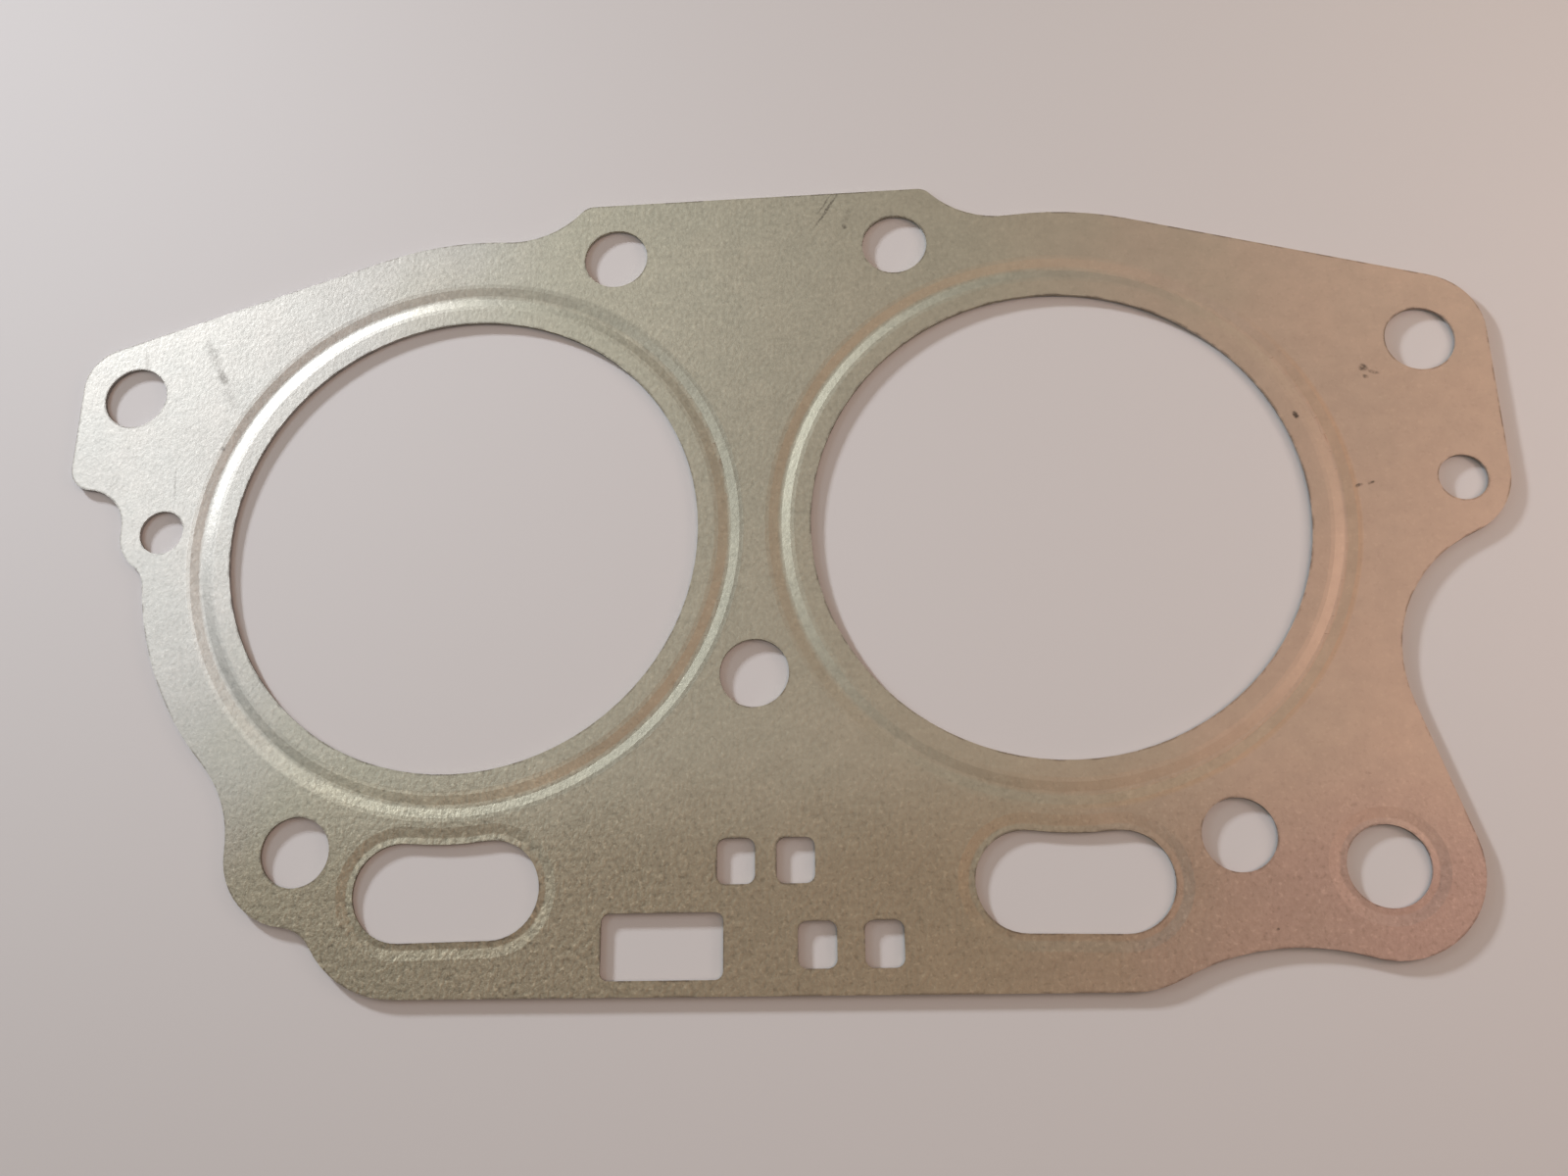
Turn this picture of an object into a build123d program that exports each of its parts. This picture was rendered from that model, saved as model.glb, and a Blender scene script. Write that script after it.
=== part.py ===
from build123d import *
from collections import namedtuple
from math import asin, atan2, cos, degrees, hypot, radians, sin, sqrt
import os

# Cylinder head gasket of an air-cooled parallel-twin engine: one stamped and embossed steel sheet.
# Frame, in millimetres: X runs from the left cylinder to the right one, Y from the pushrod side
# to the plain side, and +Z up to the cylinder head. The origin is on the head-side face of the
# sheet, midway between the two cylinder axes. All beads are pressed down, so they are grooves
# in the head-side face and ridges on the block side, and the sheet lies on their crests.

# ---- Sheet -----------------------------------------------------------------------------------
sheet_thickness = 0.5

# ---- Cylinder openings and the full bead round each --------------------------------------------
bore_diameter = 73.0
bore_bridge = 17.0  # metal between the two openings
bore_rim = 2.5  # flat ring between an opening and its bead
bore_flank = 2.2  # width of each flank, from the flat sheet to the middle of the crest
bore_foot = 0.6  # width of the gentler start of each flank
bore_foot_drop = 0.05
bore_bead_depth = 0.36
bore_crest_radius = 1.5  # inside the crest

# ---- Bead at the very edge of the pushrod slots and of the oil drain ----------------------------
edge_inner_flank = 0.9  # from the cut edge to the middle of the crest
edge_outer_flank = 1.5
edge_bead_depth = 0.2
edge_lip_drop = 0.12  # of the cut edge under the flat sheet
edge_crest_radius = 1.0

# ---- Head bolts and oil ports --------------------------------------------------------------------
# A hole's clear is the metal between the bore's bead and the hole. Its bearing is its direction
# from the bore's axis, in degrees, from straight away from the other cylinder towards +Y.
bolt_hole_diameter = 10.2
corner_bolt_clear = 12.6
corner_bolt_bearing = 25.2
top_bolt_clear = 3.5
top_bolt_bearing = 115.8
low_bolt_clear = 3.5
low_bolt_bearing = -65.5
middle_bolt_y = -22.6

port_diameter = 7.0
left_port_clear = 1.2
left_port_bearing = 3.2
right_port_clear = 11.6
right_port_bearing = 3.5
drain_diameter = 11.2
drain_clear = 17.0
drain_bearing = -51.8

# ---- Pushrod slots: obrounds whose bore-side edge runs parallel to the bore ------------------------
slot_width = 14.0
slot_land = 0.8  # flat strip between the bore's bead and the slot's bead
slot_outer_reach = 5.6  # from the bore's axis to the middle of each round end, along X
slot_inner_reach = 7.5

# ---- Window and the identification holes beside it ---------------------------------------------------
window_length = 17.2
window_width = 9.1
window_corner = 1.2
window_x = -12.9
window_land = 2.2  # metal between the window and the bottom edge
mark_length = 5.4
mark_width = 6.4
mark_corner = 1.3
lower_mark_x = 13.3  # middle of the pair in line with the window
lower_mark_pitch = 9.2
upper_mark_x = 1.6
upper_mark_pitch = 8.4
mark_row_pitch = 11.5

# ---- Outline: metal left round the holes, and the radii of its corners and hollows -----------------------
upper_land = 14.6  # over each cylinder opening
side_land = 13.9  # beside each cylinder opening
top_land = 4.7  # above the top bolt holes
shoulder_radius = 2.6
shoulder_overhang = 3.9  # of the shoulder's centre past the top bolt hole's
shoulder_hollow = 15.0
left_corner_radius = 6.9
left_corner_out = 2.2  # from the corner bolt hole to the corner's centre
left_corner_up = 2.1
left_ear_radius = 3.9
left_ear_drop = 11.8  # from the corner bolt hole down to the ear's centre
left_ear_hollow = 6.8
left_port_land = 3.2
left_port_hollow = 4.0
low_bolt_land = 5.5
low_bolt_hollow = 18.0
foot_land = 7.6  # round the outer end of each slot
foot_hollow = 6.0
drain_land = 6.8
drain_hollow = 33.0
bay_hollow = 20.6
right_ear_radius = 10.2
right_ear_rise = 1.0  # from the right port up to the ear's centre
right_corner_radius = 9.8
right_corner_up = 1.2

node_name = "head_gasket"

LEFT = -1
RIGHT = 1

flat_lap = sheet_thickness / 2  # flat sheet carried along outside each bead
bore_radius = bore_diameter / 2
bore_x = (bore_diameter + bore_bridge) / 2
bolt_radius = bolt_hole_diameter / 2
port_radius = port_diameter / 2
drain_radius = drain_diameter / 2
slot_end_radius = slot_width / 2
bead_edge = bore_radius + bore_rim + 2 * bore_flank
slot_edge = bead_edge + slot_land + edge_outer_flank + edge_inner_flank

# A round of a closed outline. A positive radius bulges out of the outline, a negative one is hollow.
Round = namedtuple("Round", "x y radius")


def from_bore(side, clear, hole_radius, bearing):
    """Centre of a hole given by its clear and its bearing from the left or right bore's axis."""
    reach = bead_edge + clear + hole_radius
    return (side * (bore_x + reach * cos(radians(bearing))), reach * sin(radians(bearing)))


corner_bolts = [from_bore(side, corner_bolt_clear, bolt_radius, corner_bolt_bearing) for side in (LEFT, RIGHT)]
top_bolts = [from_bore(side, top_bolt_clear, bolt_radius, top_bolt_bearing) for side in (LEFT, RIGHT)]
low_bolts = [from_bore(side, low_bolt_clear, bolt_radius, low_bolt_bearing) for side in (LEFT, RIGHT)]
bolts = corner_bolts + top_bolts + low_bolts + [(0, middle_bolt_y)]
left_port = from_bore(LEFT, left_port_clear, port_radius, left_port_bearing)
right_port = from_bore(RIGHT, right_port_clear, port_radius, right_port_bearing)
drain = from_bore(RIGHT, drain_clear, drain_radius, drain_bearing)


def blend(first, second, radius):
    """Hollow that touches two bulging rounds, on the right of the way from the first to the second."""
    reach_first = first.radius + radius
    reach_second = second.radius + radius
    gap = hypot(second.x - first.x, second.y - first.y)
    along = (reach_first**2 - reach_second**2 + gap**2) / (2 * gap)
    aside = sqrt(reach_first**2 - along**2)
    way_x = (second.x - first.x) / gap
    way_y = (second.y - first.y) / gap
    return Round(first.x + along * way_x + aside * way_y, first.y + along * way_y - aside * way_x, -radius)


def belt(rounds, growth=0.0):
    """Closed wire, counter-clockwise, that runs round each of the rounds and straight between them.

    The straight run from one round to the next touches both. Its outward normal is the heading of
    the line of centres, turned back by a quarter turn and forward by the arc sine of the radii's
    difference over the distance between the centres, which is rounded so that rounds that touch
    have no run between them. growth moves the whole wire outwards.
    """
    grown = [Round(r.x, r.y, r.radius + growth) for r in rounds]
    normals = []
    for here, there in zip(grown, grown[1:] + grown[:1]):
        gap = hypot(there.x - here.x, there.y - here.y)
        heading = degrees(atan2(there.y - here.y, there.x - here.x))
        lean = round((here.radius - there.radius) / gap, 9)
        normals.append(heading - 90 + degrees(asin(lean)))
    arcs = []
    for r, before, after in zip(grown, normals[-1:] + normals[:-1], normals):
        if r.radius > 0:
            arcs.append(CenterArc((r.x, r.y), r.radius, before, (after - before) % 360))
        else:
            arcs.append(CenterArc((r.x, r.y), -r.radius, before + 180, -((before - after) % 360)))
    edges = []
    for arc, following in zip(arcs, arcs[1:] + arcs[:1]):
        edges.append(arc)
        if (following @ 0 - arc @ 1).length > 1e-6:
            edges.append(Line(arc @ 1, following @ 0))
    return Wire(edges)


def slot_rounds(side):
    """The two round ends of a pushrod slot, and the arc about the bore's axis that joins them."""
    reach = slot_edge + slot_end_radius
    outer = Round(side * (bore_x + slot_outer_reach), -sqrt(reach**2 - slot_outer_reach**2), slot_end_radius)
    inner = Round(side * (bore_x - slot_inner_reach), -sqrt(reach**2 - slot_inner_reach**2), slot_end_radius)
    ends = [outer, inner] if side == LEFT else [inner, outer]
    return ends + [Round(side * bore_x, 0, -slot_edge)]


def foot_round(side):
    """Corner of the outline round the outer end of a slot, of the same centre."""
    end = slot_rounds(side)[0 if side == LEFT else 1]
    return Round(end.x, end.y, slot_end_radius + foot_land)


def outline_rounds():
    """Rounds of the sheet's outline, counter-clockwise from its right-hand corner."""
    over_left = Round(-bore_x, 0, bore_radius + upper_land)
    over_right = Round(bore_x, 0, bore_radius + upper_land)
    beside_left = Round(-bore_x, 0, bore_radius + side_land)
    beside_right = Round(bore_x, 0, bore_radius + side_land)
    shoulder_y = top_bolts[0][1] + bolt_radius + top_land - shoulder_radius
    left_shoulder = Round(top_bolts[0][0] - shoulder_overhang, shoulder_y, shoulder_radius)
    right_shoulder = Round(top_bolts[1][0] + shoulder_overhang, shoulder_y, shoulder_radius)
    corner_x, corner_y = corner_bolts[0]
    left_corner = Round(corner_x - left_corner_out, corner_y + left_corner_up, left_corner_radius)
    left_edge = left_corner.x - left_corner.radius
    left_ear = Round(left_edge + left_ear_radius, corner_y - left_ear_drop, left_ear_radius)
    port = Round(*left_port, port_radius + left_port_land)
    low_bolt = Round(*low_bolts[0], bolt_radius + low_bolt_land)
    left_foot = foot_round(LEFT)
    right_foot = foot_round(RIGHT)
    drain_end = Round(*drain, drain_radius + drain_land)
    corner_x, corner_y = corner_bolts[1]
    right_corner = Round(corner_x, corner_y + right_corner_up, right_corner_radius)
    right_edge = right_corner.x + right_corner.radius
    right_ear = Round(right_edge - right_ear_radius, right_port[1] + right_ear_rise, right_ear_radius)
    return [
        right_corner,
        over_right,
        blend(over_right, right_shoulder, shoulder_hollow),
        right_shoulder,
        left_shoulder,
        blend(left_shoulder, over_left, shoulder_hollow),
        over_left,
        left_corner,
        left_ear,
        blend(left_ear, port, left_ear_hollow),
        port,
        blend(port, beside_left, left_port_hollow),
        beside_left,
        blend(beside_left, low_bolt, low_bolt_hollow),
        low_bolt,
        blend(low_bolt, left_foot, foot_hollow),
        left_foot,
        right_foot,
        blend(right_foot, drain_end, drain_hollow),
        drain_end,
        blend(beside_right, right_ear, bay_hollow),
        right_ear,
    ]


def across_bead(inner, crest, outer, depth, crest_radius, below):
    """Edges of one face of the formed sheet, drawn from the cut edge outwards.

    Each point is a distance from the cut edge and a height. inner runs from the cut edge to the
    last bend before the crest, and outer from the first bend after it to the flat sheet. below is
    how far the face lies under the head-side one. A flank leaves its bend and touches the round of
    the crest: its slope is the arc sine of the round's radius over the distance from the bend to
    the round's centre, less the direction of that centre.
    """
    radius = crest_radius + below
    touches = []
    for side, (bend, height) in ((LEFT, inner[-1]), (RIGHT, outer[0])):
        run = side * (bend - crest)
        rise = radius - depth - height
        slope = asin(radius / hypot(run, rise)) - atan2(rise, run)
        touches.append((crest + side * radius * sin(slope), radius - depth - radius * cos(slope) - below))
    before = [(x, height - below) for x, height in inner] + [touches[0]]
    after = [touches[1]] + [(x, height - below) for x, height in outer]
    round_of_crest = ThreePointArc(touches[0], (crest, -depth - below), touches[1])
    return [*Polyline(*before).edges(), round_of_crest, *Polyline(*after).edges()]


def bead_section(inner, crest, outer, depth, crest_radius):
    """Section through the formed sheet, as thick as the sheet all along."""
    head_side = across_bead(inner, crest, outer, depth, crest_radius, 0)
    block_side = across_bead(inner, crest, outer, depth, crest_radius, sheet_thickness)
    cut_edge = Line(head_side[0] @ 0, block_side[0] @ 0)
    flat_end = Line(head_side[-1] @ 1, block_side[-1] @ 1)
    return make_face([*head_side, flat_end, *block_side, cut_edge])


def bore_bead():
    """Section of the full bead beside a cylinder opening, and its reach from the cut edge."""
    crest = bore_rim + bore_flank
    reach = crest + bore_flank + flat_lap
    inner = [(0, 0), (bore_rim, 0), (bore_rim + bore_foot, -bore_foot_drop)]
    outer = [(crest + bore_flank - bore_foot, -bore_foot_drop), (crest + bore_flank, 0), (reach, 0)]
    return bead_section(inner, crest, outer, bore_bead_depth, bore_crest_radius), reach


def edge_bead():
    """Section of the bead at the edge of a slot or of the drain, and its reach from the cut edge."""
    reach = edge_inner_flank + edge_outer_flank + flat_lap
    outer = [(edge_inner_flank + edge_outer_flank, 0), (reach, 0)]
    section = bead_section([(0, -edge_lip_drop)], edge_inner_flank, outer, edge_bead_depth, edge_crest_radius)
    return section, reach


def plug(wire):
    """Straight plug through the sheet's thickness, of a closed wire's shape."""
    return extrude(make_face(wire), amount=-sheet_thickness)


def disc(center, radius):
    """Straight round plug through the sheet's thickness."""
    return plug(Wire([CenterArc(center, radius, 0, 360)]))


def bead_round_hole(center, radius, section):
    """The bead's section turned about the axis of a round hole."""
    return Pos(*center) * revolve(Plane.XZ * Pos(radius, 0) * section, Axis.Z)


def bead_round_slot(rounds, section):
    """The bead's section carried round a slot, outwards from its cut edge."""
    edge = belt(rounds)
    along = edge % 0
    outward = Vector(along.Y, -along.X, 0)
    return sweep(Plane(origin=edge @ 0, x_dir=outward, z_dir=along * -1) * section, path=edge)


def cut_outs():
    """The window, in line with the lower pair of identification holes, and the upper pair."""
    row_y = foot_round(LEFT).y - slot_end_radius - foot_land + window_land + window_width / 2
    window = Pos(window_x, row_y) * RectangleRounded(window_length, window_width, window_corner)
    mark = RectangleRounded(mark_length, mark_width, mark_corner)
    lower = [Pos(lower_mark_x + s * lower_mark_pitch / 2, row_y) * mark for s in (LEFT, RIGHT)]
    upper = [Pos(upper_mark_x + s * upper_mark_pitch / 2, row_y + mark_row_pitch) * mark for s in (LEFT, RIGHT)]
    return [extrude(shape, amount=-sheet_thickness) for shape in [window] + lower + upper]


def build_gasket():
    """The flat sheet, with its holes punched and a formed ring in place of each beaded strip."""
    bore_section, bore_reach = bore_bead()
    edge_section, edge_reach = edge_bead()
    sheet = plug(belt(outline_rounds()))
    sheet -= [disc(bolt, bolt_radius) for bolt in bolts]
    sheet -= [disc(port, port_radius) for port in (left_port, right_port)]
    sheet -= cut_outs()
    for side in (LEFT, RIGHT):
        bore = (side * bore_x, 0)
        sheet -= disc(bore, bore_radius + bore_reach)
        sheet += bead_round_hole(bore, bore_radius, bore_section)
        sheet -= plug(belt(slot_rounds(side), edge_reach))
        sheet += bead_round_slot(slot_rounds(side), edge_section)
    sheet -= disc(drain, drain_radius + edge_reach)
    sheet += bead_round_hole(drain, drain_radius, edge_section)
    return sheet.solid()


gasket = build_gasket()
gasket.label = node_name
os.makedirs("parts", exist_ok=True)
export_step(gasket, os.path.join("parts", node_name + ".step"))
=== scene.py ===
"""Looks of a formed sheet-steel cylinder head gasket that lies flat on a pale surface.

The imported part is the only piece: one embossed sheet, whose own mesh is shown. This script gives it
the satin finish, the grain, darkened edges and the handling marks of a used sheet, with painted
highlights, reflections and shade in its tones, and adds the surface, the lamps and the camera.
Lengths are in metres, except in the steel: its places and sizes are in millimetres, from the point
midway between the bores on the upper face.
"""

import math

import bpy
from mathutils import Euler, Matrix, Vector


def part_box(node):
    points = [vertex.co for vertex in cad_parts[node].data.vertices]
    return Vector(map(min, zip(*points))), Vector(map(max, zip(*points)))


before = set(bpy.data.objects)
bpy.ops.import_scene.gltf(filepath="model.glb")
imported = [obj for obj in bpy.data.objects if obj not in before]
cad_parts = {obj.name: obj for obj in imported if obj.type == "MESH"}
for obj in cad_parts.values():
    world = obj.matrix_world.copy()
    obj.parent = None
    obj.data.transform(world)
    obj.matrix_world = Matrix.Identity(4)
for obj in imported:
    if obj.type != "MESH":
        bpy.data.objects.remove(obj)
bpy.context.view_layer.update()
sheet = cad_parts["head_gasket"]
lowest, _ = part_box("head_gasket")


def mm(value):
    """Millimetres as metres."""
    return value / 1000


# ---- Node helpers --------------------------------------------------------------------------------


class Nodes:
    """Adds nodes to one tree. An input is a plain value, or another node's socket to link from."""

    def __init__(self, tree):
        self.tree = tree

    def add(self, kind, inputs=None, **settings):
        node = self.tree.nodes.new(kind)
        for name, value in settings.items():
            setattr(node, name, value)
        for key, value in (inputs or {}).items():
            if isinstance(value, bpy.types.NodeSocket):
                self.tree.links.new(value, node.inputs[key])
            else:
                node.inputs[key].default_value = value
        return node

    def math(self, operation, first, second=0.0):
        return self.add("ShaderNodeMath", {0: first, 1: second}, operation=operation).outputs[0]

    def plus(self, first, second):
        return self.math("ADD", first, second)

    def minus(self, first, second):
        return self.math("SUBTRACT", first, second)

    def times(self, first, second):
        return self.math("MULTIPLY", first, second)

    def vector(self, operation, first, second=(0.0, 0.0, 0.0)):
        node = self.add("ShaderNodeVectorMath", {0: first, 1: second}, operation=operation)
        gives_number = operation in ("DOT_PRODUCT", "LENGTH", "DISTANCE")
        return node.outputs["Value" if gives_number else "Vector"]

    def ramp(self, value, start, end, at_start=0.0, at_end=1.0):
        """Smooth step of a value: at_start up to start, at_end from end on."""
        inputs = {
            "Value": value,
            "From Min": start,
            "From Max": end,
            "To Min": at_start,
            "To Max": at_end,
        }
        return self.add("ShaderNodeMapRange", inputs, interpolation_type="SMOOTHSTEP").outputs[0]

    def mix(self, amount, first, second, blend="MIX"):
        inputs = {0: amount, 6: first, 7: second}
        return self.add("ShaderNodeMix", inputs, data_type="RGBA", blend_type=blend).outputs[2]

    def tint(self, color, tone, amount=1.0):
        """The color times a tone, as far as amount says."""
        return self.mix(amount, color, tone, "MULTIPLY")

    def noise(self, place, size, detail, roughness=0.5, offset=None, output="Fac"):
        """Noise, 0 to 1, whose blotches are about size across, in the units of place.

        An offset takes it from elsewhere, so that two noises of nearly one size don't coincide.
        """
        if offset:
            place = self.vector("ADD", place, offset)
        inputs = {"Vector": place, "Scale": 1 / size, "Detail": detail, "Roughness": roughness}
        return self.add("ShaderNodeTexNoise", inputs).outputs[output]


class SheetPlace:
    """Where a point is on the sheet, in millimetres.

    point is its place, flat is the same without its height, and x and y are its first two numbers.
    drift is a slow noise to both sides of zero. wandering_x and wandering_y have it added, so that
    the borders between tones wander.
    """

    DRIFT = 34.0
    DRIFT_SIZE = 26.0
    DRIFT_IN_Y = 0.4

    def __init__(self, n):
        metres = n.add("ShaderNodeTexCoord").outputs["Object"]
        self.point = n.vector("MULTIPLY", metres, (1000.0, 1000.0, 1000.0))
        self.flat = n.vector("MULTIPLY", self.point, (1.0, 1.0, 0.0))
        self.x, self.y, _ = n.add("ShaderNodeSeparateXYZ", {0: self.point}).outputs
        noise = n.noise(self.point, self.DRIFT_SIZE, detail=2.0, roughness=0.6)
        self.drift = n.times(n.minus(noise, 0.5), self.DRIFT)
        self.wandering_x = n.plus(self.x, self.drift)
        self.wandering_y = n.plus(self.y, n.times(self.drift, self.DRIFT_IN_Y))


# ---- The satin steel of the sheet ----------------------------------------------------------------

# A tone is a reflectance, or a factor on one. A ramp holds what Nodes.ramp takes: where it starts and
# ends, and its value at both where these aren't 0 and 1.

# The steel's tone runs from neutral on the left through olive in the middle to browner on the right,
# partly its own colour and partly painted reflection: of the window light on the left and of warm light
# on the right. It is brightest round one place on the left, a painted highlight, and a little brighter
# along the upper side, painted light.
LEFT_STEEL = (0.475, 0.457, 0.437, 1.0)
MIDDLE_STEEL = (0.438, 0.423, 0.352, 1.0)
RIGHT_STEEL = (0.480, 0.404, 0.350, 1.0)
MIDDLE_RAMP = (-80.0, -46.0)
MIDDLE_SLANT = 0.4
RIGHT_RAMP = (30.0, 90.0)
HIGHLIGHT_CENTRE = (-91.0, -6.0, 0.0)
HIGHLIGHT_RAMP = (27.0, 8.0, 1.0, 1.09)
UPPER_RAMP = (5.0, 50.0, 0.0, 0.10)
UPPER_RAMP_ALONG = (-50.0, -5.0)


def steel_tone(n, at):
    """Three tones from left to right, partly painted reflection, times a painted highlight on the left
    and painted light along the upper side.
    """
    slanted = n.minus(at.wandering_x, n.times(at.wandering_y, MIDDLE_SLANT))
    color = n.mix(n.ramp(slanted, *MIDDLE_RAMP), LEFT_STEEL, MIDDLE_STEEL)
    color = n.mix(n.ramp(at.wandering_x, *RIGHT_RAMP), color, RIGHT_STEEL)
    # A painted highlight round one place on the left, and painted light along the upper side.
    painted_highlight = n.ramp(n.vector("DISTANCE", at.flat, HIGHLIGHT_CENTRE), *HIGHLIGHT_RAMP)
    upper_light = n.times(n.ramp(at.wandering_y, *UPPER_RAMP), n.ramp(at.wandering_x, *UPPER_RAMP_ALONG))
    return n.tint(color, n.plus(painted_highlight, upper_light))


# The flanks of a bore bead, at these radii round its bore, carry painted highlights, shade and warm
# reflection.
LEFT_BORE = (-45.0, 0.0, 0.0)
RIGHT_BORE = (45.0, 0.0, 0.0)
OUTER_FLANK = 42.4
INNER_FLANK = 40.1
FLANK_RAMP = (1.3, 0.7)
LEFT_OUTER_RAMP = (-75.0, -15.0, 1.20, 0.77)
LEFT_INNER_LOW_RAMP = (-32.0, -39.0, 0.0, 0.30)
LEFT_INNER_SIDE_RAMP = (-73.0, -82.0, 0.0, -0.17)
LEFT_INNER_SIDE_RAMP_DOWN = (12.0, -3.0)
WARM_FLANK_REFLECTION = (1.10, 1.0, 0.90, 1.0)
WARM_RAMP = (55.0, 80.0)
WARM_SLANT = 0.5


def flank(n, at, bore, radius):
    """One on a flank of the bead round a bore, falling to zero a little inside and outside its radius."""
    away = n.minus(n.vector("DISTANCE", at.flat, bore), radius)
    return n.ramp(n.math("ABSOLUTE", away), *FLANK_RAMP)


def paint_flank_light(n, at, color):
    """Painted light on the bead flanks. The left bead's outer flank is brighter at its left and darker at
    its right, painted highlight and shade. The right bead's is warm at its right and lower right, a
    painted warm reflection. The left bead's inner flank is brighter at the bottom, and darker at the left
    from the middle down, painted highlight and shade.
    """
    # Painted highlight and shade on the left bead's flanks, and a painted warm reflection on the right
    # one.
    color = n.tint(color, n.ramp(at.x, *LEFT_OUTER_RAMP), flank(n, at, LEFT_BORE, OUTER_FLANK))
    to_right = n.ramp(n.minus(at.x, n.times(at.y, WARM_SLANT)), *WARM_RAMP)
    color = n.tint(color, WARM_FLANK_REFLECTION, n.times(flank(n, at, RIGHT_BORE, OUTER_FLANK), to_right))
    side = n.times(n.ramp(at.x, *LEFT_INNER_SIDE_RAMP), n.ramp(at.y, *LEFT_INNER_SIDE_RAMP_DOWN))
    around = n.plus(n.ramp(at.y, *LEFT_INNER_LOW_RAMP), side)
    return n.tint(color, n.plus(1.0, n.times(flank(n, at, LEFT_BORE, INNER_FLANK), around)))


# The strip along the pushrod side is darker, brown on the left and pinker on the right.
LOWER_STRIP_RAMP = (-33.0, -54.0)
LEFT_STRIP_TONE = (0.80, 0.748, 0.695, 1.0)
RIGHT_STRIP_TONE = (0.86, 0.81, 0.86, 1.0)

# The grain is coarse round the left slot, fainter on the right and stronger in the darker strip.
STRENGTH_RAMP = (55.0, -15.0, 0.30, 0.75)
COARSE_CENTRE = (-46.0, -62.0, 0.0)
COARSE_RAMP = (44.0, 10.0)
COARSE_DRIFT = 0.7
COARSE_STRENGTH = 0.72
LOWER_STRIP_STRENGTH = 0.70


def grain_strength(n, at, lower_strip):
    """Strength of the grain: less to the right, and more in the coarse place and in the darker strip."""
    far = n.plus(n.vector("DISTANCE", at.flat, COARSE_CENTRE), n.times(at.drift, COARSE_DRIFT))
    coarse = n.times(n.ramp(far, *COARSE_RAMP), COARSE_STRENGTH)
    strength = n.plus(n.ramp(at.wandering_x, *STRENGTH_RAMP), coarse)
    return n.plus(strength, n.times(lower_strip, LOWER_STRIP_STRENGTH))


# The patterns in the steel, from the widest to the finest, and how much tone each one carries.
CLOUD_SIZE = 12.0
CLOUD_RAMP = (0.3, 0.7)
CLOUD_DARK = (0.985, 0.99, 0.99, 1.0)
CLOUD_LIGHT = (1.015, 1.005, 1.0, 1.0)
BLOTCH_SIZE = 3.5
BLOTCH_OFFSET = (40.0, 0.0, 0.0)
BLOTCH_RAMP = (0.3, 0.7, 0.97, 1.03)
PIT_SIZE = 0.80
PIT_RAMP = (0.40, 0.30)
PIT_TONE = 0.12
SPECK_SIZE = 0.72
SPECK_OFFSET = (7.0, 3.0, 0.0)
SPECK_RAMP = (0.60, 0.70)
SPECK_TONE = 0.13
GRAIN_SIZE = 0.62
GRAIN_STRETCH = (1.0, 0.75, 1.0)
GRAIN_TONE = 0.55


def tone_grain(n, at, color, grain, strength):
    """Clouds and blotches of tone, then the grain itself, with dark pits and bright specks in it."""
    cloud = n.ramp(n.noise(at.point, CLOUD_SIZE, detail=3.0, roughness=0.6), *CLOUD_RAMP)
    color = n.tint(color, n.mix(cloud, CLOUD_DARK, CLOUD_LIGHT))
    blotch = n.noise(at.point, BLOTCH_SIZE, detail=2.0, roughness=0.6, offset=BLOTCH_OFFSET)
    color = n.tint(color, n.ramp(blotch, *BLOTCH_RAMP))
    grain_tone = n.times(n.times(n.minus(grain, 0.5), strength), GRAIN_TONE)
    color = n.tint(color, n.plus(grain_tone, 1.0))
    pit = n.noise(at.point, PIT_SIZE, detail=1.0, roughness=0.55)
    pits = n.times(n.ramp(pit, *PIT_RAMP), strength)
    color = n.tint(color, n.minus(1.0, n.times(pits, PIT_TONE)))
    speck = n.noise(at.point, SPECK_SIZE, detail=1.0, roughness=0.55, offset=SPECK_OFFSET)
    specks = n.times(n.ramp(speck, *SPECK_RAMP), strength)
    return n.tint(color, n.plus(1.0, n.times(specks, SPECK_TONE)))


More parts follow.
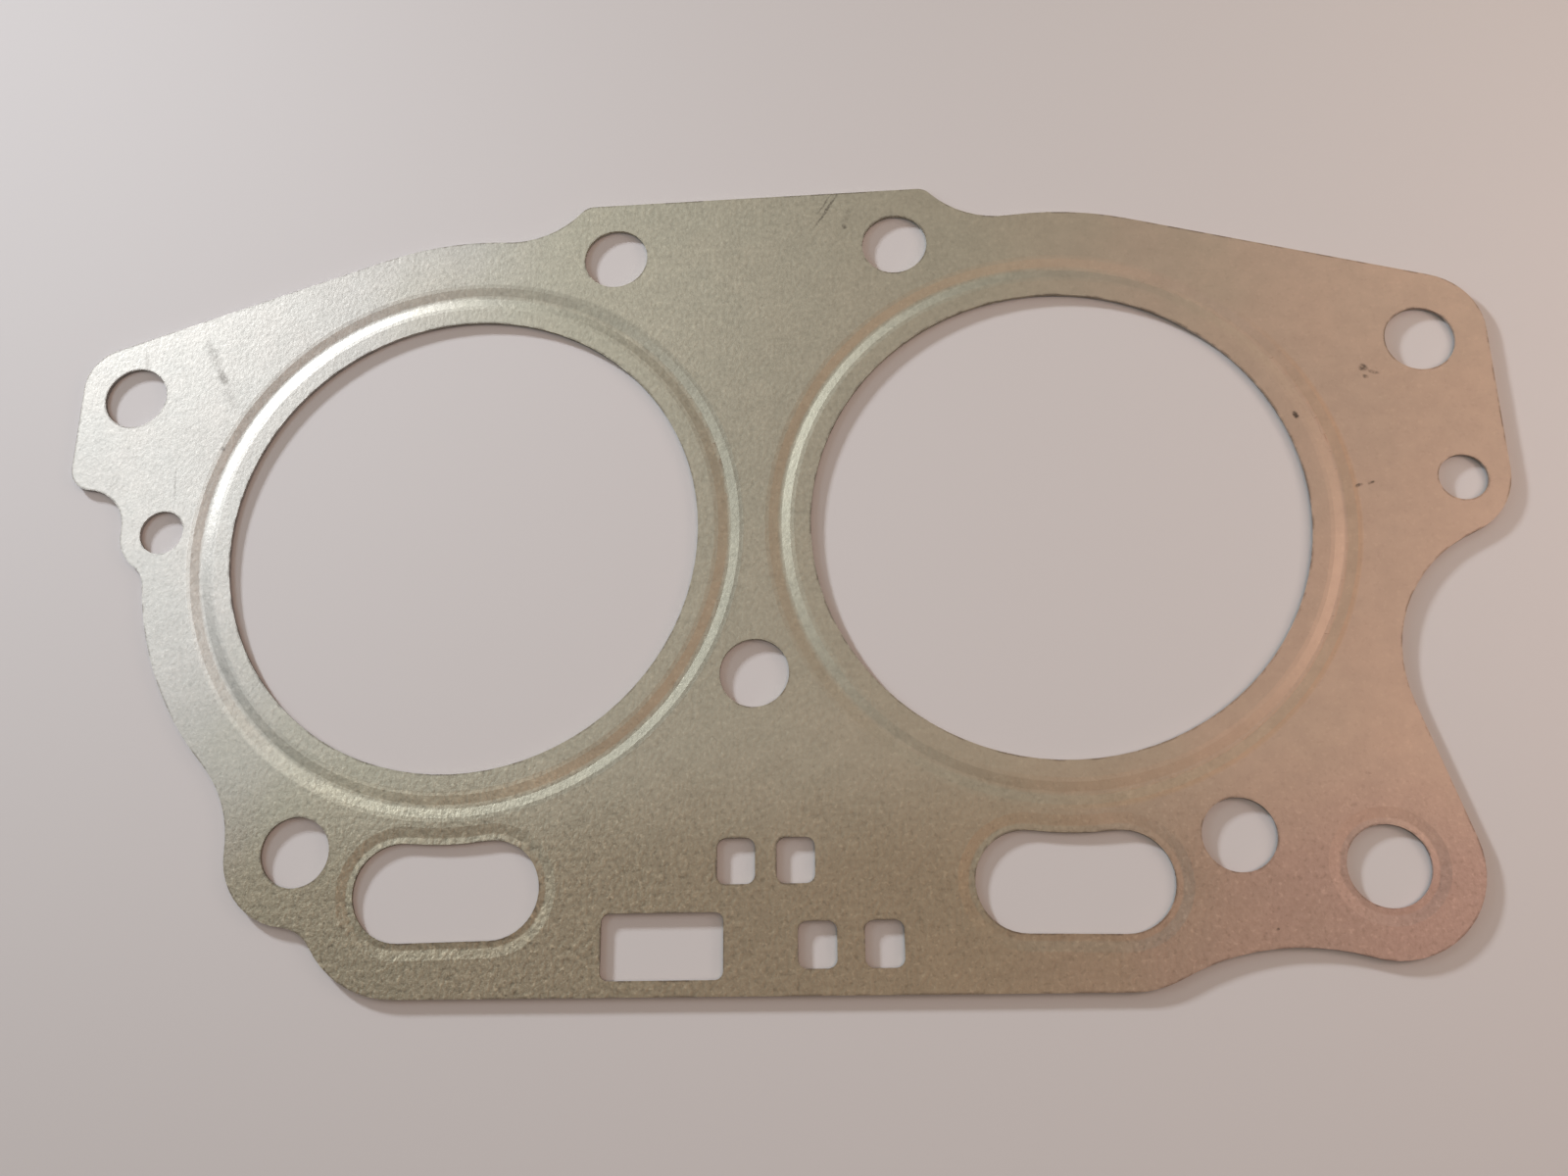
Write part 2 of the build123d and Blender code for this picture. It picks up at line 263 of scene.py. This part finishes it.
# Handling marks on the upper face, each a worn ellipse: middle, slant in degrees, half length, half
# width and how far it turns the steel to soot.
SOOT = (0.10, 0.085, 0.075, 1.0)
MARKS = {
    "long_smear": [
        ((-88.1, 33.0), -64, 4.6, 1.20, 0.26),
        ((-86.1, 29.0), -60, 2.3, 0.95, 0.52),
        ((-84.6, 25.6), -66, 2.8, 1.10, 0.15),
    ],
    "corner_rub": [((-99.2, 32.4), -79, 2.5, 0.60, 0.20)],
    "thin_scratch": [((-91.8, 10.6), -86, 4.4, 0.23, 0.26), ((-102.2, 11.0), -139, 2.5, 0.32, 0.10)],
    "bead_speck": [((-84.7, 16.5), -45, 0.6, 0.42, 0.50)],
    "paired_scratches": [((11.4, 54.8), 58, 2.8, 0.26, 0.45), ((11.8, 53.8), 57, 5.0, 0.28, 0.55)],
    "top_spot": [((14.5, 50.5), -18, 0.6, 0.55, 0.50), ((15.0, 52.4), 63, 2.6, 0.75, 0.20)],
    "right_smudge": [
        ((91.5, 21.7), -35, 0.9, 0.75, 0.75),
        ((92.8, 20.9), -22, 1.3, 0.34, 0.45),
        ((91.6, 20.2), -37, 0.5, 0.38, 0.60),
    ],
    "right_ticks": [((88.6, 2.8), 20, 0.8, 0.32, 0.65), ((90.5, 3.2), 14, 0.7, 0.34, 0.70)],
    "rim_spot": [((80.8, 14.5), -56, 0.8, 0.55, 0.95)],
    "edge_scratches": [((103.8, 24.4), 30, 1.7, 0.19, 0.22), ((101.6, 23.4), -16, 1.6, 0.19, 0.14)],
    "bay_smudges": [((82.2, -43.5), 27, 0.9, 0.38, 0.20), ((84.6, -39.2), -7, 0.6, 0.34, 0.20)],
    "lobe_spot": [((70.3, -60.0), 27, 0.3, 0.28, 0.75)],
}
MARK_RAMP = (1.0, 0.35)
RAGGED_SIZE = 1.2
RAGGED_REACH = (0.7, 0.7, 0.0)
TORN_SIZE = 0.45
TORN_RAMP = (0.35, 0.6, 0.45, 1.15)
UPWARD_RAMP = (0.3, 0.6)


def mark(n, place, middle, slant, half_length, half_width, depth):
    """Depth of tone inside an ellipse round the middle, falling to zero at its rim."""
    inputs = {
        "Vector": place,
        "Location": (middle[0], middle[1], 0.0),
        "Rotation": (0.0, 0.0, math.radians(slant)),
        "Scale": (half_length, half_width, 1.0),
    }
    local = n.add("ShaderNodeMapping", inputs, vector_type="TEXTURE").outputs[0]
    return n.ramp(n.vector("LENGTH", local), *MARK_RAMP, 0.0, depth)


def lay_marks(n, at, color, normal):
    """The deepest mark at each point, with ragged rims and torn by fine noise, on upward faces only."""
    wander = n.noise(at.point, RAGGED_SIZE, detail=2.0, output="Color")
    shift = n.vector("MULTIPLY", n.vector("SUBTRACT", wander, (0.5, 0.5, 0.5)), RAGGED_REACH)
    ragged = n.vector("ADD", at.flat, shift)
    soot = 0.0
    for strokes in MARKS.values():
        for stroke in strokes:
            soot = n.math("MAXIMUM", mark(n, ragged, *stroke), soot)
    torn = n.ramp(n.noise(at.point, TORN_SIZE, detail=2.0, roughness=0.6), *TORN_RAMP)
    upward = n.ramp(n.vector("DOT_PRODUCT", normal, (0.0, 0.0, 1.0)), *UPWARD_RAMP)
    return n.mix(n.times(n.times(soot, torn), upward), color, SOOT)


# The walls of the sheet and a thin line along its edges are darkened, broken by noise.
# They are where a normal that is rounded over the edge's width turns away from the true one.
EDGE_DARK = (0.11, 0.09, 0.08, 1.0)
EDGE_WIDTH = 0.5
EDGE_RAMP = (0.990, 0.955)
EDGE_PATCH_SIZE = 3.5
EDGE_PATCH_OFFSET = (0.0, 0.0, 9.0)
EDGE_PATCH_RAMP = (0.44, 0.60, 0.04, 0.85)
LEFT_EDGE_RAMP = (-94.0, -102.0, 0.0, 0.9)


def darken_edges(n, at, color, normal):
    """Darkening at the edges, in patches, and all along at the far left."""
    rounded = n.add("ShaderNodeBevel", {"Radius": mm(EDGE_WIDTH)}, samples=4).outputs[0]
    edge = n.ramp(n.vector("DOT_PRODUCT", rounded, normal), *EDGE_RAMP)
    patches = n.noise(at.point, EDGE_PATCH_SIZE, detail=4.0, roughness=0.7, offset=EDGE_PATCH_OFFSET)
    edge_patches = n.math("MAXIMUM", n.ramp(patches, *EDGE_PATCH_RAMP), n.ramp(at.x, *LEFT_EDGE_RAMP))
    return n.mix(n.times(edge, edge_patches), color, EDGE_DARK)


# The finish is a little smoother on the left, and rougher where the grain stands high.
FINISH_RAMP = (-75.0, -25.0, 0.455, 0.50)
GRAIN_ROUGHNESS = 0.16
BUMP_STRENGTH = 0.5
BUMP_HEIGHT = 0.10


def satin_steel():
    """Satin steel with a rolled grain, a darker strip, handling marks, darkened edges and painted
    highlights, reflections and shade.
    """
    material = bpy.data.materials.new("satin_steel")
    material.use_nodes = True
    material.node_tree.nodes.clear()
    n = Nodes(material.node_tree)
    at = SheetPlace(n)
    normal = n.add("ShaderNodeNewGeometry").outputs["True Normal"]
    lower_strip = n.ramp(at.wandering_y, *LOWER_STRIP_RAMP)
    grain = n.noise(n.vector("MULTIPLY", at.point, GRAIN_STRETCH), GRAIN_SIZE, detail=3.0, roughness=0.6)
    strength = grain_strength(n, at, lower_strip)

    # Painted reflection and highlights in the steel's tones, and painted light and shade on the bead
    # flanks.
    color = paint_flank_light(n, at, steel_tone(n, at))
    strip_tone = n.mix(n.ramp(at.wandering_x, *RIGHT_RAMP), LEFT_STRIP_TONE, RIGHT_STRIP_TONE)
    color = n.tint(color, strip_tone, lower_strip)
    color = tone_grain(n, at, color, grain, strength)
    color = lay_marks(n, at, color, normal)
    color = darken_edges(n, at, color, normal)

    roughness = n.plus(n.times(grain, GRAIN_ROUGHNESS), n.ramp(at.wandering_x, *FINISH_RAMP))
    lift = n.times(strength, BUMP_STRENGTH)
    bump = n.add("ShaderNodeBump", {"Strength": lift, "Distance": mm(BUMP_HEIGHT), "Height": grain})
    surface = n.add("ShaderNodeBsdfPrincipled", {
        "Base Color": color,
        "Metallic": 1.0,
        "Roughness": roughness,
        "Normal": bump.outputs[0],
    })
    n.add("ShaderNodeOutputMaterial", {"Surface": surface.outputs[0]})
    return material


# ---- Surface, lamps and camera -------------------------------------------------------------------

# The surface reaches this far each way from the middle of the sheet.
FLOOR_REACH = 3.0
PALE_PAPER = (0.605, 0.602, 0.63, 1.0)

# Lamps are square. Distances and sizes are in metres, powers in watts and angles in degrees.
ROOM_LIGHT = (0.22, 0.213, 0.18, 1.0)
WINDOW_LIGHT = (0.95, 0.985, 1.0)
COOL_LIGHT = (0.86, 0.95, 1.0)
WARM_LIGHT = (1.0, 0.84, 0.66)
WARMER_LIGHT = (1.0, 0.74, 0.62)
WARMEST_LIGHT = (1.0, 0.58, 0.42)
WINDOW = {"distance": 0.85, "size": 0.073, "spread": 58, "aim": (-0.08, 0.06, 0.0)}
NEAR_PANEL = {"distance": 0.25, "size": 0.075}
FAR_PANEL = {"distance": 1.50, "size": 0.45}

# The camera's place, its turn about X, Y and Z in degrees, and its lens and sensor in millimetres.
CAMERA_PLACE = (mm(22.324), mm(-74.921), mm(202.528))
CAMERA_TURN = (17.712, 5.168, -0.384)
FOCAL_LENGTH = 33.178
SENSOR_WIDTH = 36.0


def lay_floor():
    """A plain pale surface that the sheet's bead crests touch."""
    low, high = -FLOOR_REACH, FLOOR_REACH
    corners = [(low, low), (high, low), (high, high), (low, high)]
    mesh = bpy.data.meshes.new("surface")
    mesh.from_pydata([(x, y, lowest.z) for x, y in corners], [], [(0, 1, 2, 3)])
    floor = bpy.data.objects.new("surface", mesh)
    bpy.context.scene.collection.objects.link(floor)
    material = bpy.data.materials.new("pale_paper")
    material.use_nodes = True
    paper = material.node_tree.nodes["Principled BSDF"]
    paper.inputs["Base Color"].default_value = PALE_PAPER
    paper.inputs["Roughness"].default_value = 0.8
    paper.inputs["Specular IOR Level"].default_value = 0.0
    mesh.materials.append(material)


def add_lamp(name, azimuth, elevation, distance, size, power, color, spread=180, aim=(0.0, 0.0, 0.0)):
    """A square lamp that stands at an azimuth and an elevation, and is turned to its aim.

    Angles are in degrees, and azimuth is counted from +X towards +Y.
    """
    lamp = bpy.data.lights.new(name, "AREA")
    lamp.shape = "SQUARE"
    lamp.size = size
    lamp.energy = power
    lamp.color = color
    lamp.spread = math.radians(spread)
    holder = bpy.data.objects.new(name, lamp)
    across = math.cos(math.radians(elevation))
    direction = Vector((
        across * math.cos(math.radians(azimuth)),
        across * math.sin(math.radians(azimuth)),
        math.sin(math.radians(elevation)),
    ))
    holder.location = direction * distance
    holder.rotation_euler = (holder.location - Vector(aim)).to_track_quat("Z", "Y").to_euler()
    bpy.context.scene.collection.objects.link(holder)


def light_room():
    """A low window lamp at the upper left, cool panels at the left, warm ones at the right and above."""
    world = bpy.data.worlds.new("room")
    world.use_nodes = True
    bpy.context.scene.world = world
    background = world.node_tree.nodes["Background"]
    background.inputs["Color"].default_value = ROOM_LIGHT
    background.inputs["Strength"].default_value = 1.0
    add_lamp("window_lamp", azimuth=137, elevation=17, power=0.80, color=WINDOW_LIGHT, **WINDOW)
    add_lamp("left_panel", azimuth=160, elevation=40, power=0.030, color=COOL_LIGHT, **NEAR_PANEL)
    add_lamp("side_panel", azimuth=180, elevation=40, power=0.035, color=COOL_LIGHT, **NEAR_PANEL)
    add_lamp("near_panel", azimuth=40, elevation=26, power=0.035, color=WARM_LIGHT, **NEAR_PANEL)
    add_lamp("low_panel", azimuth=0, elevation=26, power=0.095, color=WARMER_LIGHT, **NEAR_PANEL)
    add_lamp("far_panel", azimuth=20, elevation=55, power=1.67, color=WARMEST_LIGHT, **FAR_PANEL)
    add_lamp("top_panel", azimuth=320, elevation=72, power=3.15, color=WARMEST_LIGHT, **FAR_PANEL)


def place_camera():
    """The camera looks down from over the pushrod side, a fifth of a right angle off straight down."""
    camera = bpy.data.cameras.new("camera")
    camera.lens = FOCAL_LENGTH
    camera.sensor_width = SENSOR_WIDTH
    camera.clip_start = 0.01
    holder = bpy.data.objects.new("camera", camera)
    holder.location = CAMERA_PLACE
    holder.rotation_euler = Euler([math.radians(a) for a in CAMERA_TURN])
    bpy.context.scene.collection.objects.link(holder)
    bpy.context.scene.camera = holder


sheet.data.materials.clear()
sheet.data.materials.append(satin_steel())
lay_floor()
light_room()
place_camera()

bpy.context.scene.view_settings.view_transform = "Standard"
